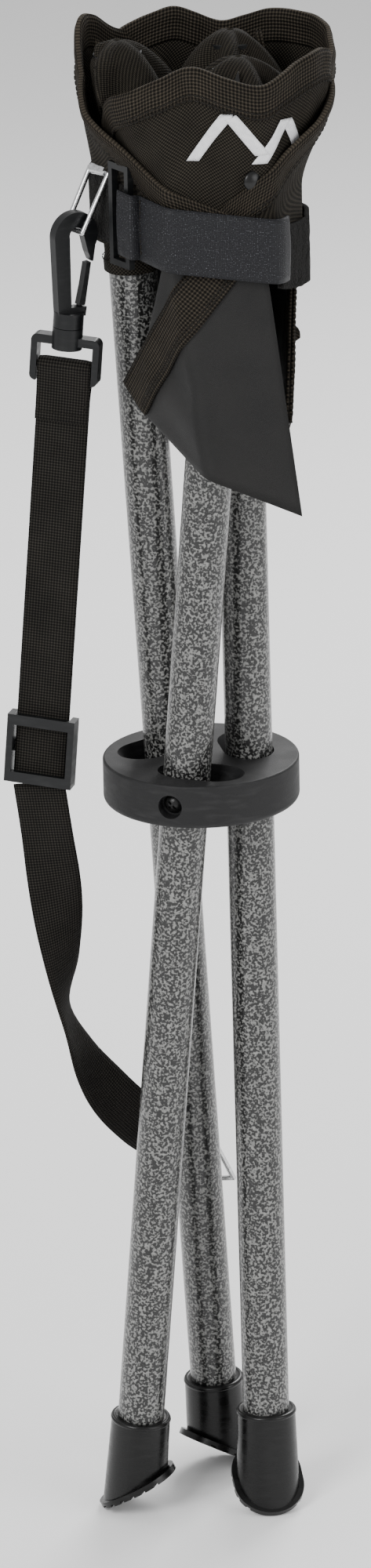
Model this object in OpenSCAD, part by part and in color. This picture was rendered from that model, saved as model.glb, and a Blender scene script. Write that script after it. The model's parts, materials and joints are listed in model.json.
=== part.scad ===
/* Folding three-leg field stool, standing folded, with its closure strap
   done up and its shoulder strap hanging at one side.
   Origin: on the hub axis at ground level. +Z up, -Y is the front. */

/* [Frame] */
// Outside diameter of each leg tube
tube_d = 22.2; // [19:0.1:25.4]
// Wall thickness of each leg tube
tube_wall = 1.2; // [0.9:0.1:2]
// Length of each leg tube above its pivot
leg_above = 345; // [300:5:380]
// Height of the pivots above the ground when folded
pivot_h = 370; // [330:5:410]
// Lean of the front leg when folded, degrees
lean_a = 5.2; // [3:0.1:6]
// Lean of the right leg when folded, degrees
lean_b = 2.4; // [2:0.1:6]
// Lean of the back leg when folded, degrees
lean_c = 3.6; // [2:0.1:6]
// Lean of every leg when open, degrees
lean_open = 35; // [30:1:40]

/* [Hub] */
// Diameter of the hub disc
hub_d = 92; // [86:1:100]
// Thickness of the hub disc
hub_t = 21; // [18:1:26]
// Distance from the hub axis to each leg's pivot
pivot_r = 23; // [21:0.5:26]
// Turn of the hub seen from above, degrees
hub_turn = 19; // [0:1:40]
// Diameter of the pivot screws
screw_d = 5; // [4:0.5:6]

/* [Feet] */
// Diameter of each foot cap at its rim
foot_d = 28; // [26:0.5:30]
// Height of each foot cap from its rim to the middle of its sole
foot_h = 36; // [32:1:42]

/* [Seat] */
// Thickness of the seat fabric
fabric_t = 1; // [0.8:0.1:1.4]
// Width of the hem webbing along the seat's edge
hem_w = 20; // [14:1:26]
// Length of each corner pocket on its leg
pocket_len = 105; // [80:5:130]
// Distance from each flap's fold to the crease of its tip
crease_w = 40; // [36:1:44]

/* [Straps] */
// Width of the shoulder strap webbing
strap_w = 25; // [20:1:30]
// Thickness of the shoulder strap webbing
strap_t = 1.6; // [1.2:0.1:2]
// Width of the closure strap tape
band_w = 30; // [25:1:35]
// Height of the closure strap's centre above the pivots
band_h = 272; // [255:1:290]
// Thickness of the steel wire of the strap bails
wire_d = 2.6; // [2:0.2:3.4]

/* [Hidden] */
$fn = 48;

// Gap between a hole and what turns in it
running = 0.08;
// Farther than any cut has to reach
reach = 300;

// Legs by index: 0 front (a), 1 right (b), 2 back (c)
leans = [lean_a, lean_b, lean_c];
tube_r = tube_d / 2;
// Depth of each end plug in its tube, and thickness of its cap
plug_len = 16;
plug_cap = 2.5;

// Half width of each slot in the hub, its slant, and its half length where it meets the faces
slot_r = tube_r + 0.9;
slot_tilt = lean_open + 1.5;
slot_half = 20.8;
// Roundings of the hub's lower and upper edges
hub_edge_low = 3;
hub_edge_top = 1;
// Pivot screws: pan head, its counterbore in the hub's rim, and the tip's distance from the axis
head_d = 9;
head_h = 3;
head_ball_r = 5.4;
cross_w = 1.1;
cross_len = 5;
cross_deep = 1.7;
bore_d = 11.4;
bore_depth = 6;
screw_tip_r = 6;

// Feet: widening towards the base, height of the socket's floor, and the sole with its grooves
foot_flare = 3;
foot_floor = 14;
sole_t = 3;
sole_len = 41;
sole_wid = 34;
groove_w = 2;
groove_deep = 2.4;
groove_pitch = 6;
groove_count = 6;

// Rivets: shank, domed head, and the height of the pockets' rivets above the pivots
shank_d = 4.8;
shank_gap = 0.1;
rivet_d = 9;
rivet_h = 2;
rivet_s = 300;
rivet_turn = 45;

// Pockets: cloth thickness, outside radius, and height of the closed end above the tube's end
pocket_t = 1.5;
pocket_r = tube_r + 0.1 + pocket_t;
pocket_end = 5;
pocket_room = 3;

// For each leg, the turn of its flap's plane from the leg's outward direction, the flap's tilt
// in its own plane, and the bend of its tip at the crease
flap_turns = [19, 19, -4];
flap_tilts = [7, 7, -4];
tip_bends = [55, 30, 33];
// Gap between a flap and its tip along the crease
crease_gap = 1;
// Distances of the two layers of a flap from the leg's axis
inner_off = pocket_r + 0.8 + fabric_t / 2;
outer_off = inner_off + fabric_t + 0.8;
// Distance from a leg's pivot up the leg to its corner of the seat
corner_s = leg_above + 6;
// The open seat is an equilateral triangle; each half of a corner is a right triangle
corner_reach = norm([
    pivot_r + outer_off * cos(flap_turns[0]),
    corner_s * sin(lean_open) + outer_off * sin(flap_turns[0]),
]);
half_hem = corner_reach * cos(30);

// Closure strap: drop from the seat's corners, gap round the bundle, how far a bent tip reaches
// under it, and its two faces' distances outside the bundle's outline
band_drop = corner_s - band_h;
bundle_gap = 1.6;
tip_reach = 17;
tape_low = 2.6;
tape_high = 4.2;
// Azimuths where the hook tape ends over the loop tape, and where the loop tape starts
hook_tape_end = 318;
loop_tape_start = -42;
// The ring lies on the straight stretch between the back leg and the front leg's crease
ring_bar = 3;
ring_w = 16;
ring_h = band_w + 18;
ring_out = 0.9;
ring_rise = 7;
ring_along = 26;
crease_run = bundle_point(0, crease_w) - axis_point(2);
ring_facing = atan2(crease_run[1], crease_run[0]) - acos(pocket_r / norm(crease_run));
ring_start = axis_point(2) + (pocket_r + bundle_gap) * [cos(ring_facing), sin(ring_facing)];
ring_mid = ring_start + ring_along * [-sin(ring_facing), cos(ring_facing)];
ring_azimuth = atan2(ring_mid[1], ring_mid[0]) + 360;

// Steel clips on the back leg: thickness, width, eye below the rivet, tab above it
clip_t = 1.2;
clip_w = 10;
clip_eye = 8;
clip_tab = 7;
// Heights of the clips' rivets from the pivot, their turns round the leg, and their seats' radii
upper_clip_s = 304;
lower_clip_s = -193;
upper_clip_turn = 90;
lower_clip_turn = -45;
upper_clip_r = pocket_r + 0.1;
lower_clip_r = tube_r + 0.1;
// Wire bails: half width of the lower side, drop from the eye, and tilt away from the leg
upper_bail_half = 6;
lower_bail_half = 15;
upper_bail_drop = 30;
lower_bail_drop = 24;
upper_bail_tilt = 36;
lower_bail_tilt = 12;

// Middle of the upper bail's lower side, worked out along the back leg
eye_out = clip_t + wire_d / 2 + 0.1;
bail_out = upper_clip_r + eye_out + upper_bail_drop * sin(upper_bail_tilt);
bail_down = upper_clip_s - clip_eye - upper_bail_drop * cos(upper_bail_tilt);
lean_out = bail_out * cos(lean_c) + bail_down * sin(lean_c);
strap_top = [
    pivot_r * cos(azimuth(2)) - lean_out * sin(azimuth(2)),
    pivot_r * sin(azimuth(2)) + lean_out * cos(azimuth(2)),
    pivot_h + bail_down * cos(lean_c) - bail_out * sin(lean_c),
];
// Lean of the hanging strap from upright, and turns of its face and of its hook about it
strap_lean = 4.9;
strap_turn = -15;
hook_turn = azimuth(2) + 80;
// Snap hook, measured from the middle of its round head: head radius, top of the opening and its
// rounding, nose, spine, and base; the wire hangs just under the top of the opening
hook_r = 11.3;
hook_t = 5;
open_top = 4.1;
open_r = 3.6;
hook_top = wire_d / 2 + 0.6;
nose = [[-8.9, -12.3], [-6.8, -8.2], [-3.4, 1.5]];
spine_top = [3.4, -1];
spine_low = [0.2, -33.7];
base_top = -33.7;
base_low = -38;
base_back = 6.5;
base_front = 7.5;
// Gate: clearance at both ends, thickness of the lug that turns in a slot in the base, and its pin
gate_gap = 0.7;
lug_t = 2.4;
lug_w = 1.6;
pin_d = 2.3;
pin_at = [-5.2, -35.2];
// Swivel: collar below the hook, and the stem that turns in it
collar_d = 14;
collar_low = -43;
collar_h = 7;
stem_r = 2.9;
// Boss, arms and bar of the loop for the webbing, measured like the hook
boss_h = 10;
loop_bar = 3;
loop_top = -47.4;
loop_h = 22;
loop_t = 7;
bar_at = -62;
loop_low = hook_top - open_top + bar_at;
// Webbing's end, sewn tail, and slider, down from the wire
strap_low = -268;
tail_len = 26;
slider_at = -250;
slider_h = 33;
slider_bar = 3;
outer_bar_h = 5;
middle_bar_h = 6;

// Route of the lower run of webbing, and the way its width points along it
strap_route = [
    strap_top + (strap_low - 5) * [sin(strap_lean), 0, cos(strap_lean)],
    [-72, -13, 342],
    [-69, -10, 312],
    [-67, -6, 280],
    [-66, -2, 252],
    [-58, 6, 226],
    [-46, 15, 204],
    [-33, 30, 184],
    [-19, 46, 165],
    [-8, 49, 147],
];
strap_widths = [
    [0.97, -0.26, 0],
    [0.95, -0.2, 0],
    [0.9, 0.3, 0],
    [0.6, 0.8, 0],
    [0.1, 1, 0.1],
    [0.3, 0.85, 0.4],
    [0.5, 0.5, 0.7],
    [0.65, 0.3, 0.7],
    [0.9, 0.1, 0.45],
    [1, 0, 0.1],
];

// ---- Directions and frames ----

// Direction of leg k's pivot from the hub axis, seen from above
function azimuth(k) = -90 - hub_turn + 120 * k;

function turned(v, a) = [v[0] * cos(a) - v[1] * sin(a), v[0] * sin(a) + v[1] * cos(a)];
function unit(v) = v / norm(v);

// Puts children in leg k's frame: origin at its pivot, +Z up the leg, +X outward from the hub
module leg_frame(k) {
    translate([0, 0, pivot_h])
        rotate([0, 0, azimuth(k)])
            translate([pivot_r, 0, 0])
                rotate([-leans[k], 0, 0])
                    children();
}

// How far the sole's edge reaches below the sole's middle when the leg leans by an angle
function sole_drop(lean) =
    (sole_len / 2) * sin(lean_open - lean) + sole_t * cos(lean_open - lean);
// Distance from leg k's pivot down to its foot's rim, so that the sole's edge meets the ground
function rim_s(k) = (pivot_h - sole_drop(leans[k])) / cos(leans[k]) - foot_h;

// ---- Hub ----

// Obround slot, slanted so that it clears the leg at both ends of its swing
module leg_slot() {
    straight = slot_half * cos(slot_tilt) - slot_r;
    rotate([-slot_tilt, 0, 0])
        linear_extrude(height = 4 * hub_t, center = true)
            union() {
                square([2 * slot_r, 2 * straight], center = true);
                for (side = [-1, 1])
                    translate([0, side * straight])
                        circle(r = slot_r, $fn = 96);
            }
}

module hub_disc() {
    color("#242424")
        difference() {
            translate([0, 0, pivot_h - hub_t / 2])
                rotate_extrude($fn = 128)
                    union() {
                        square([hub_d / 2 - hub_edge_low, hub_t]);
                        translate([0, hub_edge_low])
                            square([hub_d / 2, hub_t - hub_edge_low - hub_edge_top]);
                        translate([0, hub_edge_low])
                            square([hub_d / 2 - hub_edge_top, hub_t - hub_edge_low]);
                        translate([hub_d / 2 - hub_edge_low, hub_edge_low])
                            circle(r = hub_edge_low);
                        translate([hub_d / 2 - hub_edge_top, hub_t - hub_edge_top])
                            circle(r = hub_edge_top);
                    }
            for (k = [0:2])
                translate([0, 0, pivot_h])
                    rotate([0, 0, azimuth(k)]) {
                        translate([pivot_r, 0, 0])
                            leg_slot();
                        rotate([0, 90, 0])
                            translate([0, 0, screw_tip_r])
                                cylinder(d = screw_d + 2 * running, h = hub_d);
                        rotate([0, 90, 0])
                            translate([0, 0, hub_d / 2 - bore_depth])
                                cylinder(d = bore_d, h = hub_d);
                    }
        }
}

// Pan-head screw with a cross recess, its axis through one leg
module pivot_screw(k) {
    head_at = hub_d / 2 - bore_depth;
    color("#1c1c1c")
        translate([0, 0, pivot_h])
            rotate([0, 0, azimuth(k)])
                rotate([0, 90, 0])
                    difference() {
                        union() {
                            translate([0, 0, screw_tip_r + 0.5])
                                cylinder(d = screw_d, h = head_at - screw_tip_r);
                            translate([0, 0, head_at + 0.05])
                                rotate_extrude()
                                    intersection() {
                                        square([head_d / 2, head_h]);
                                        translate([0, head_h - head_ball_r])
                                            circle(r = head_ball_r);
                                    }
                        }
                        for (turn = [45, 135])
                            rotate([0, 0, turn])
                                translate([0, 0, head_at + head_h])
                                    cube([cross_w, cross_len, 2 * cross_deep], center = true);
                    }
}

// ---- Legs ----

module leg_tube(k) {
    foot_end = rim_s(k) + foot_h - foot_floor;
    color("#9a9a98")
        leg_frame(k)
            difference() {
                translate([0, 0, -foot_end])
                    cylinder(r = tube_r, h = foot_end + leg_above);
                translate([0, 0, -foot_end - 1])
                    cylinder(r = tube_r - tube_wall, h = foot_end + leg_above + 2);
                rotate([0, 90, 0])
                    cylinder(d = screw_d + 2 * running, h = 2 * tube_d, center = true);
                rivet_frame()
                    cylinder(d = shank_d + shank_gap, h = tube_d);
            }
}

module leg_plug(k) {
    color("#202020")
        leg_frame(k)
            union() {
                translate([0, 0, leg_above - plug_len])
                    cylinder(r = tube_r - tube_wall - 0.05, h = plug_len);
                translate([0, 0, leg_above])
                    cylinder(r = tube_r, h = plug_cap);
            }
}

// A socket for the tube, cut off level with the ground when the stool is open
module leg_foot(k) {
    room = 3 * foot_d;
    color("#151515")
        leg_frame(k)
            translate([0, 0, -rim_s(k) - foot_h])
                difference() {
                    union() {
                        intersection() {
                            translate([0, 0, -foot_h / 2])
                                cylinder(d1 = foot_d + foot_flare, d2 = foot_d, h = 1.5 * foot_h);
                            rotate([lean_open, 0, 0])
                                translate([0, 0, room / 2])
                                    cube(room, center = true);
                        }
                        rotate([lean_open, 0, 0])
                            sole();
                    }
                    translate([0, 0, foot_floor])
                        cylinder(r = tube_r + 0.05, h = foot_h);
                }
}

module sole() {
    first_groove = -(groove_count - 1) / 2;
    difference() {
        translate([0, 0, -sole_t])
            linear_extrude(height = sole_t + 0.01)
                union() {
                    square([sole_wid, sole_len - sole_wid], center = true);
                    for (side = [-1, 1])
                        translate([0, side * (sole_len - sole_wid) / 2])
                            circle(d = sole_wid);
                }
        for (i = [first_groove:-first_groove])
            translate([0, i * groove_pitch, -sole_t])
                cube([sole_wid + 2, groove_w, groove_deep], center = true);
    }
}

// Puts children on the tube's outer side at the rivet, +Z outward
module rivet_frame() {
    translate([0, 0, rivet_s])
        rotate([0, 0, rivet_turn])
            rotate([0, 90, 0])
                children();
}

// Fabric sleeve, closed over the leg's top
module leg_pocket(k) {
    color("#26241f")
        leg_frame(k)
            difference() {
                translate([0, 0, leg_above + pocket_end - pocket_len])
                    cylinder(r = pocket_r, h = pocket_len);
                translate([0, 0, leg_above - pocket_len])
                    cylinder(r = pocket_r - pocket_t, h = pocket_len + pocket_room);
                rivet_frame()
                    cylinder(d = shank_d + 2 * shank_gap, h = tube_d);
            }
}

module leg_rivet(k) {
    shank_below = 1.5;
    color("#141414")
        leg_frame(k)
            rivet_frame()
                union() {
                    translate([0, 0, tube_r - tube_wall - shank_below])
                        cylinder(d = shank_d, h = pocket_r - tube_r + tube_wall + shank_below);
                    translate([0, 0, pocket_r + 0.02])
                        dome(d = rivet_d, h = rivet_h);
                }
}

// Part of a ball, of a width and height, on a flat base
module dome(d, h) {
    ball_r = (d * d / 4 + h * h) / (2 * h);
    rotate_extrude()
        intersection() {
            square([d / 2, h]);
            translate([0, h - ball_r])
                circle(r = ball_r, $fn = 96);
        }
}

// ---- Seat, folded in half along each corner's fold ----

// Puts children in one flap's plane: origin at the seat corner, +X down the fold towards
// the seat's centre, +Y towards the middle of the seat's side, +Z outward
module flap_frame(k, offset_r) {
    translate([0, 0, pivot_h])
        rotate([0, 0, azimuth(k)])
            translate([pivot_r, 0, 0]) {
                top = corner_s * [0, sin(leans[k]), cos(leans[k])];
                translate(top)
                    rotate([0, 0, flap_turns[k]])
                        translate([offset_r, 0, 0])
                            rotate([flap_tilts[k], 0, 0])
                                rotate([0, 90, 0])
                                    mirror([0, 1, 0])
                                        children();
            }
}

// Distance from the fold to a layer's crease; the inner layer turns a little sooner
function crease_at(k, offset_r) = crease_w - (outer_off - offset_r) * tan(tip_bends[k] / 2);

// The half corner between its fold and its hem, up to the crease
module flap_outline(crease) {
    intersection() {
        half_corner();
        translate([-reach, -reach])
            square([3 * reach, reach + crease]);
    }
}

// The rest of the half corner, beyond the crease
module tip_outline(crease) {
    intersection() {
        half_corner();
        translate([-reach, crease + crease_gap])
            square([3 * reach, reach]);
    }
}

// A right triangle: the fold, half of the seat's side, and the line between their ends
module half_corner() {
    polygon([[0, 0], [corner_reach, 0], half_hem * [cos(30), sin(30)]]);
}

// The strip along the hem, or all the rest
module hem_side(inside) {
    rotate(30)
        translate([-reach, inside ? -hem_w : -hem_w - reach])
            square([3 * reach, reach]);
}

// One layer of a flap, or of its hem, on the leg's side of the crease
module seat_flap(k, offset_r, hem) {
    color(hem ? "#2a2722" : "#201f1d")
        flap_frame(k, offset_r)
            linear_extrude(height = fabric_t, center = true)
                intersection() {
                    flap_outline(crease_at(k, offset_r));
                    hem_side(hem);
                }
}

// The same beyond the crease, bent in towards the legs
module seat_tip(k, offset_r, hem) {
    crease = crease_at(k, offset_r);
    color(hem ? "#2a2722" : "#201f1d")
        flap_frame(k, offset_r)
            translate([0, crease, 0])
                rotate([-tip_bends[k], 0, 0])
                    translate([0, -crease, 0])
                        linear_extrude(height = fabric_t, center = true)
                            intersection() {
                                tip_outline(crease);
                                hem_side(hem);
                            }
}

// ---- Closure strap ----

// A point of leg k's outer flap seen from above at the closure strap's height,
// at a distance from the flap's fold
function bundle_point(k, from_fold) = turned(
    [pivot_r, corner_s * tan(leans[k])]
        + turned([outer_off, band_drop * tan(flap_tilts[k]) - from_fold], flap_turns[k]),
    azimuth(k)
);

// The farthest that a bent tip reaches under the closure strap, seen from above
function tip_point(k) = bundle_point(k, crease_w)
    + tip_reach * turned(unit(bundle_point(k, crease_w) - bundle_point(k, 0)), -tip_bends[k]);

// A point of leg k's axis seen from above at the closure strap's height
function axis_point(k) = turned([pivot_r, band_h * tan(leans[k])], azimuth(k));

// Outline of the folded bundle at the closure strap's height
module bundle_outline(grow) {
    offset(r = grow)
        hull()
            for (k = [0:2]) {
                translate(axis_point(k))
                    circle(r = pocket_r + bundle_gap, $fn = 32);
                for (corner = [bundle_point(k, -3), bundle_point(k, crease_w), tip_point(k)])
                    translate(corner)
                        circle(r = bundle_gap, $fn = 24);
            }
}

// The closure strap's tape round the bundle between two azimuths
module band_sector(from, to) {
    steps = 6;
    translate([0, 0, pivot_h + band_h - band_w / 2])
        linear_extrude(height = band_w)
            intersection() {
                difference() {
                    bundle_outline(tape_high);
                    bundle_outline(tape_low);
                }
                polygon(concat(
                    [[0, 0]],
                    [for (i = [0:steps]) let (a = from + (to - from) * i / steps)
                        reach * [cos(a), sin(a)]]
                ));
            }
}

module closure_hook_tape() {
    color("#2c2d30")
        band_sector(ring_azimuth + 1, hook_tape_end);
}

module closure_loop_tape() {
    color("#1d1c1b")
        band_sector(loop_tape_start, ring_azimuth - 1);
}

// Rectangular ring that the closure strap turns back through
module closure_ring() {
    color("#202225")
        translate([ring_mid[0], ring_mid[1], pivot_h + band_h + ring_rise])
            rotate([0, 0, ring_facing])
                translate([tape_high + ring_bar / 2 + ring_out, 0, 0])
                    rotate([90, 0, 90])
                        difference() {
                            cube([ring_w, ring_h, ring_bar], center = true);
                            cube([ring_w - 2 * ring_bar, ring_h - 2 * ring_bar, 2 * ring_bar],
                                center = true);
                        }
}

// ---- Shoulder strap fittings on the back leg ----

// Puts children on the back leg's surface, +X away from the tube, +Z up the leg
module clip_frame(s, turn, surface_r) {
    leg_frame(2)
        translate([0, 0, s])
            rotate([0, 0, turn])
                translate([surface_r, 0, 0])
                    children();
}

// Steel tab with a rolled eye for the bail's wire
module bail_clip(s, turn, surface_r) {
    barrel_r = wire_d / 2 + 0.1 + clip_t;
    color("#b9bbbd")
        clip_frame(s, turn, surface_r)
            difference() {
                union() {
                    translate([0, -clip_w / 2, -clip_eye])
                        cube([clip_t, clip_w, clip_eye + clip_tab]);
                    translate([barrel_r, 0, -clip_eye])
                        rotate([90, 0, 0])
                            cylinder(r = barrel_r, h = clip_w, center = true);
                }
                translate([barrel_r, 0, -clip_eye])
                    rotate([90, 0, 0])
                        cylinder(d = wire_d + 0.12, h = 2 * clip_w, center = true);
                rotate([0, 90, 0])
                    cylinder(d = shank_d + 2 * shank_gap, h = clip_w, center = true);
            }
}

module bail_rivet(s, turn, surface_r) {
    color("#161616")
        clip_frame(s, turn, surface_r)
            rotate([0, 90, 0])
                union() {
                    translate([0, 0, 0.02])
                        cylinder(d = shank_d, h = clip_t + 0.2);
                    translate([0, 0, clip_t + 0.05])
                        dome(d = rivet_d, h = rivet_h);
                }
}

// Wire loop hanging from its clip's eye, tilted away from the leg
module wire_bail(s, turn, surface_r, half_low, drop, tilt) {
    half_top = clip_w / 2 + wire_d / 2 + 0.4;
    corners = [[-half_top, 0], [half_top, 0], [half_low, -drop], [-half_low, -drop]];
    color("#d0d2d4")
        clip_frame(s, turn, surface_r)
            translate([eye_out, 0, -clip_eye])
                rotate([0, -tilt, 0])
                    for (i = [0:3])
                        wire_side(corners[i], corners[(i + 1) % 4]);
}

// One straight side of a bail with a rounded corner at its start
module wire_side(from, to) {
    run = to - from;
    translate([0, from[0], from[1]])
        rotate([atan2(-run[0], run[1]), 0, 0])
            union() {
                cylinder(d = wire_d, h = norm(run), $fn = 24);
                sphere(d = wire_d + 0.06, $fn = 24);
            }
}

// ---- Shoulder strap, hanging from the upper bail ----

// Puts children at the middle of the upper bail's lower side, -Z down the strap
module strap_frame() {
    translate(strap_top)
        rotate([0, strap_lean, 0])
            children();
}

// Puts children in the hook's own plane: +X towards its back, +Z up
module hook_frame() {
    strap_frame()
        rotate([0, 0, hook_turn])
            translate([0, 0, hook_top - open_top])
                children();
}

// A flat shape in the hook's plane, given a thickness
module hook_plate(height) {
    rotate([90, 0, 0])
        linear_extrude(height = height, center = true)
            children();
}

// Round head tapering to the base
module hook_outline() {
    union() {
        circle(r = hook_r, $fn = 96);
        polygon([[hook_r - 0.05, -1], [base_back, base_low], [-base_front, base_low], [1 - hook_r, -5]]);
    }
}

// Room inside the hook, open on the gate's side
module hook_opening() {
    union() {
        translate([0, open_top - open_r])
            circle(r = open_r);
        polygon(concat([spine_top, spine_low, [-2 * hook_r, base_top], [-2 * hook_r, nose[0][1]]], nose));
    }
}

module snap_hook_body() {
    slot_w = lug_w + 1;
    color("#191a1c")
        hook_frame()
            difference() {
                union() {
                    hook_plate(hook_t)
                        difference() {
                            hook_outline();
                            hook_opening();
                        }
                    translate([0, 0, collar_low])
                        cylinder(d = collar_d, h = collar_h);
                }
                translate([0, 0, collar_low - 1])
                    cylinder(r = stem_r + running, h = collar_h - 1);
                translate([0, 0, collar_low + collar_h - 3])
                    cylinder(r = stem_r + 1.3, h = 2.6);
                hook_plate(lug_t + 0.4)
                    translate([pin_at[0] - slot_w / 2, pin_at[1] - pin_d / 2])
                        square([slot_w, 3]);
                gate_pin_frame()
                    cylinder(d = pin_d + 0.1, h = 2 * hook_t, center = true);
            }
}

// Puts children at the gate's pin, +Z along it
module gate_pin_frame() {
    translate([pin_at[0], 0, pin_at[1]])
        rotate([90, 0, 0])
            children();
}

// Sprung gate that closes the hook, turning on a pin at its lower end
module snap_hook_gate() {
    color("#101113")
        hook_frame()
            union() {
                gate_pin_frame()
                    cylinder(d = pin_d, h = hook_t, center = true);
                hook_plate(hook_t - 1)
                    polygon([
                        nose[0] - [0, gate_gap],
                        nose[0] + [2.3, -gate_gap - 0.3],
                        [-5.4, -24],
                        [-4, base_top + gate_gap],
                        [-base_front + 0.3, base_top + gate_gap],
                    ]);
                hook_plate(lug_t)
                    translate([pin_at[0] - lug_w / 2, pin_at[1]])
                        square([lug_w, base_top + 1 - pin_at[1]]);
            }
}

// Loop that the webbing is sewn around, with the stem the hook turns on
module swivel_loop() {
    color("#191a1c")
        strap_frame()
            translate([0, 0, hook_top - open_top])
                union() {
                    translate([0, 0, collar_low - boss_h - 0.3])
                        cylinder(d = collar_d, h = boss_h);
                    translate([0, 0, collar_low - 1])
                        cylinder(r = stem_r, h = collar_h - 1.4);
                    translate([0, 0, collar_low + collar_h - 2.6])
                        cylinder(r = stem_r + 1, h = 1.4);
                    rotate([0, 0, strap_turn]) {
                        translate([0, 0, loop_top - loop_h / 2])
                            rotate([90, 0, 0])
                                linear_extrude(height = loop_t, center = true)
                                    loop_outline();
                        translate([0, 0, bar_at])
                            rotate([0, 90, 0])
                                cylinder(d = loop_bar, h = strap_w + 3, center = true);
                    }
                }
}

// Two arms hanging from a top bar
module loop_outline() {
    window = strap_w + 1.2;
    difference() {
        rounded_box(window + 2 * loop_bar, loop_h, 2.9);
        translate([0, -loop_bar - 1])
            square([window, loop_h], center = true);
    }
}

module rounded_box(width, height, r) {
    union() {
        square([width - 2 * r, height], center = true);
        square([width, height - 2 * r], center = true);
        for (x = [-1, 1], y = [-1, 1])
            translate([x * (width / 2 - r), y * (height / 2 - r)])
                circle(r = r);
    }
}

// Straight run of webbing, turned around the loop's lower bar and sewn to itself
module strap_upper() {
    eye_r = loop_bar / 2 + 0.9;
    color("#23211d")
        strap_frame()
            rotate([0, 0, strap_turn])
                union() {
                    translate([-strap_w / 2, -strap_t / 2, strap_low])
                        cube([strap_w, strap_t, loop_low - strap_low - eye_r]);
                    translate([-strap_w / 2, strap_t / 2 - 0.1, loop_low - tail_len])
                        cube([strap_w, strap_t, tail_len - eye_r]);
                    translate([0, 0, loop_low])
                        rotate([0, 90, 0])
                            difference() {
                                cylinder(r = eye_r + strap_t, h = strap_w, center = true);
                                cylinder(r = eye_r, h = 2 * strap_w, center = true);
                            }
                }
}

// Three-bar slider: outer bars in front of the webbing, the middle bar behind it
module strap_slider() {
    width = strap_w + 1.2 + 2 * slider_bar;
    rail_t = 2 * (slider_bar + strap_t / 2 + 0.4);
    color("#17181a")
        strap_frame()
            rotate([0, 0, strap_turn])
                translate([0, 0, slider_at])
                    union() {
                        for (side = [-1, 1])
                            translate([side * (width - slider_bar) / 2, 0, 0])
                                cube([slider_bar, rail_t, slider_h], center = true);
                        for (side = [-1, 1])
                            translate([
                                0,
                                -(rail_t - slider_bar) / 2,
                                side * (slider_h - outer_bar_h) / 2,
                            ])
                                cube([width, slider_bar, outer_bar_h], center = true);
                        translate([0, (rail_t - slider_bar) / 2, 0])
                            cube([width, slider_bar, middle_bar_h], center = true);
                    }
}

// A point of a smooth curve through points p, a share f of the way from point i to the next
function curve_at(p, i, f) =
    let (
        last = len(p) - 1,
        a = p[max(i - 1, 0)],
        b = p[i],
        c = p[i + 1],
        d = p[min(i + 2, last)]
    )
    b + 0.5 * f * (c - a + f * (2 * a - 5 * b + 4 * c - d + f * (3 * (b - c) + d - a)));
// The whole curve, with a number of steps between neighbouring points
function curve(p, steps) = concat(
    [for (i = [0:len(p) - 2], j = [0:steps - 1]) curve_at(p, i, j / steps)],
    [p[len(p) - 1]]
);
function squared_to(v, along) = unit(v - along * (v * along));

// Flat webbing swept along a route, its width following the given directions
module ribbon(route, widths, w, t) {
    path = curve(route, 5);
    spread = curve(widths, 5);
    last = len(path) - 1;
    rings = [
        for (i = [0:last])
            let (
                along = unit(path[min(i + 1, last)] - path[max(i - 1, 0)]),
                side = squared_to(spread[i], along) * w / 2,
                out = cross(along, unit(side)) * t / 2
            )
            [path[i] - side - out, path[i] + side - out, path[i] + side + out, path[i] - side + out]
    ];
    points = [for (ring = rings, p = ring) p];
    faces = concat(
        [[0, 1, 2, 3]],
        [for (i = [0:last - 1], j = [0:3]) [4 * i + j, 4 * i + 4 + j, 4 * i + 4 + (j + 1) % 4]],
        [for (i = [0:last - 1], j = [0:3])
            [4 * i + j, 4 * i + 4 + (j + 1) % 4, 4 * i + (j + 1) % 4]],
        [[4 * last + 3, 4 * last + 2, 4 * last + 1, 4 * last]]
    );
    polyhedron(points, faces);
}

// Loose run of webbing from the slider round to the lower bail
module strap_lower() {
    color("#23211d")
        ribbon(strap_route, strap_widths, strap_w, strap_t);
}

// ---- Nodes ----

hub_disc();
pivot_screw(0);  // pivot_screw_a
pivot_screw(1);  // pivot_screw_b
pivot_screw(2);  // pivot_screw_c
leg_tube(0);  // leg_a_tube
leg_tube(1);  // leg_b_tube
leg_tube(2);  // leg_c_tube
leg_plug(0);  // leg_a_plug
leg_plug(1);  // leg_b_plug
leg_plug(2);  // leg_c_plug
leg_foot(0);  // leg_a_foot
leg_foot(1);  // leg_b_foot
leg_foot(2);  // leg_c_foot
leg_pocket(0);  // leg_a_pocket
leg_pocket(1);  // leg_b_pocket
leg_pocket(2);  // leg_c_pocket
leg_rivet(0);  // leg_a_rivet
leg_rivet(1);  // leg_b_rivet
leg_rivet(2);  // leg_c_rivet
seat_flap(0, outer_off, false);  // seat_a_outer
seat_flap(0, inner_off, false);  // seat_a_inner
seat_flap(1, outer_off, false);  // seat_b_outer
seat_flap(1, inner_off, false);  // seat_b_inner
seat_flap(2, outer_off, false);  // seat_c_outer
seat_flap(2, inner_off, false);  // seat_c_inner
seat_tip(0, outer_off, false);  // tip_a_outer
seat_tip(0, inner_off, false);  // tip_a_inner
seat_tip(1, outer_off, false);  // tip_b_outer
seat_tip(1, inner_off, false);  // tip_b_inner
seat_tip(2, outer_off, false);  // tip_c_outer
seat_tip(2, inner_off, false);  // tip_c_inner
seat_flap(0, outer_off, true);  // hem_a_outer
seat_flap(0, inner_off, true);  // hem_a_inner
seat_flap(1, outer_off, true);  // hem_b_outer
seat_flap(1, inner_off, true);  // hem_b_inner
seat_flap(2, outer_off, true);  // hem_c_outer
seat_flap(2, inner_off, true);  // hem_c_inner
seat_tip(0, outer_off, true);  // tip_hem_a_outer
seat_tip(0, inner_off, true);  // tip_hem_a_inner
seat_tip(1, outer_off, true);  // tip_hem_b_outer
seat_tip(1, inner_off, true);  // tip_hem_b_inner
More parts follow.
